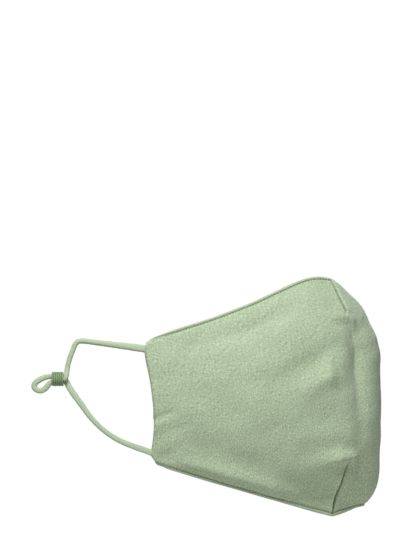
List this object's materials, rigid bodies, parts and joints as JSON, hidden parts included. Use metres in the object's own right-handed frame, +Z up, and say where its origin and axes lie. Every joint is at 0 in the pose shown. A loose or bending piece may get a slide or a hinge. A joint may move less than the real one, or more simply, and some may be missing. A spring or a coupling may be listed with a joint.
{
  "type": "darted cloth face mask with adjustable ear loops",
  "caption": "Hollow darted cloth face mask with rolled stitched edges and two elastic ear loops, each drawn in by a ribbed bead.",
  "frame": {"origin": "inner face of the top edge's middle, where the nose bridge carries the mask", "axes": "+Z up, -Y out of the front of the mask, +Y towards the face and the ears, +X towards the wearer's left ear"},
  "size_m": [0.1034, 0.1962, 0.135],
  "materials": {
    "cloth": "matt brushed jersey, sage green",
    "elastic": "matt knitted elastic",
    "bead": "matt ribbed rubber"
  },
  "bodies": {
    "root": {"mask_cloth": "cloth", "top_hem": "cloth", "bottom_hem": "cloth", "ear_loop_right": "elastic", "ear_loop_left": "elastic", "adjuster_right": "bead", "adjuster_left": "bead"}
  },
  "joints": []
}
